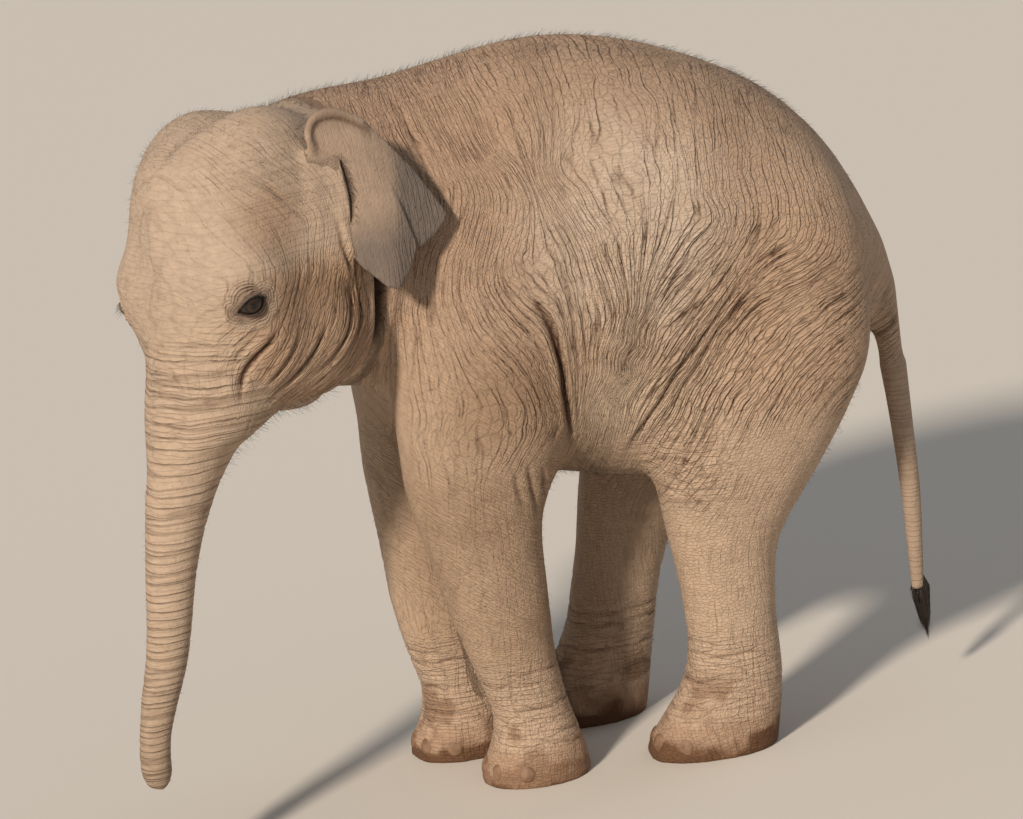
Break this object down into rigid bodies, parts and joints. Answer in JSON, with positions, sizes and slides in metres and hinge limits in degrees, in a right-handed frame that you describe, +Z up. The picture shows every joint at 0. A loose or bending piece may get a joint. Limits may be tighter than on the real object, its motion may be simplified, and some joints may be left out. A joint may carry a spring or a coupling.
{
  "type": "still model of a young asian elephant",
  "caption": "Life-size still figure of a young Asian elephant standing with its head turned and its trunk hanging; rests on its soles.",
  "frame": {"origin": "on the floor, under the middle of the whole figure's box", "axes": "-X toward the front of the body, -Y toward the animal's left, +Z up"},
  "size_m": [1.344, 0.6742, 1.1734],
  "materials": {
    "skin": "dusty, matt, wrinkled",
    "toenail": "matt horn, muddy",
    "eye": "wet gloss",
    "hair": "coarse dark bristle"
  },
  "bodies": {
    "root": {"body": "skin", "ear_left": "skin", "ear_right": "skin", "eye_left": "eye", "eye_right": "eye", "front_left_lower_leg": "skin", "front_left_nail_1": "toenail", "front_left_nail_2": "toenail", "front_left_nail_3": "toenail", "front_left_nail_4": "toenail", "front_left_nail_5": "toenail", "front_left_upper_leg": "skin", "front_right_lower_leg": "skin", "front_right_nail_1": "toenail", "front_right_nail_2": "toenail", "front_right_nail_3": "toenail", "front_right_nail_4": "toenail", "front_right_nail_5": "toenail", "front_right_upper_leg": "skin", "head": "skin", "hind_left_lower_leg": "skin", "hind_left_nail_1": "toenail", "hind_left_nail_2": "toenail", "hind_left_nail_3": "toenail", "hind_left_nail_4": "toenail", "hind_left_upper_leg": "skin", "hind_right_lower_leg": "skin", "hind_right_nail_1": "toenail", "hind_right_nail_2": "toenail", "hind_right_nail_3": "toenail", "hind_right_nail_4": "toenail", "hind_right_upper_leg": "skin", "lower_jaw": "skin", "neck": "skin", "tail": "skin", "tail_tip": "skin", "tail_tuft": "hair", "trunk_middle": "skin", "trunk_tip": "skin", "trunk_upper": "skin"}
  },
  "joints": []
}
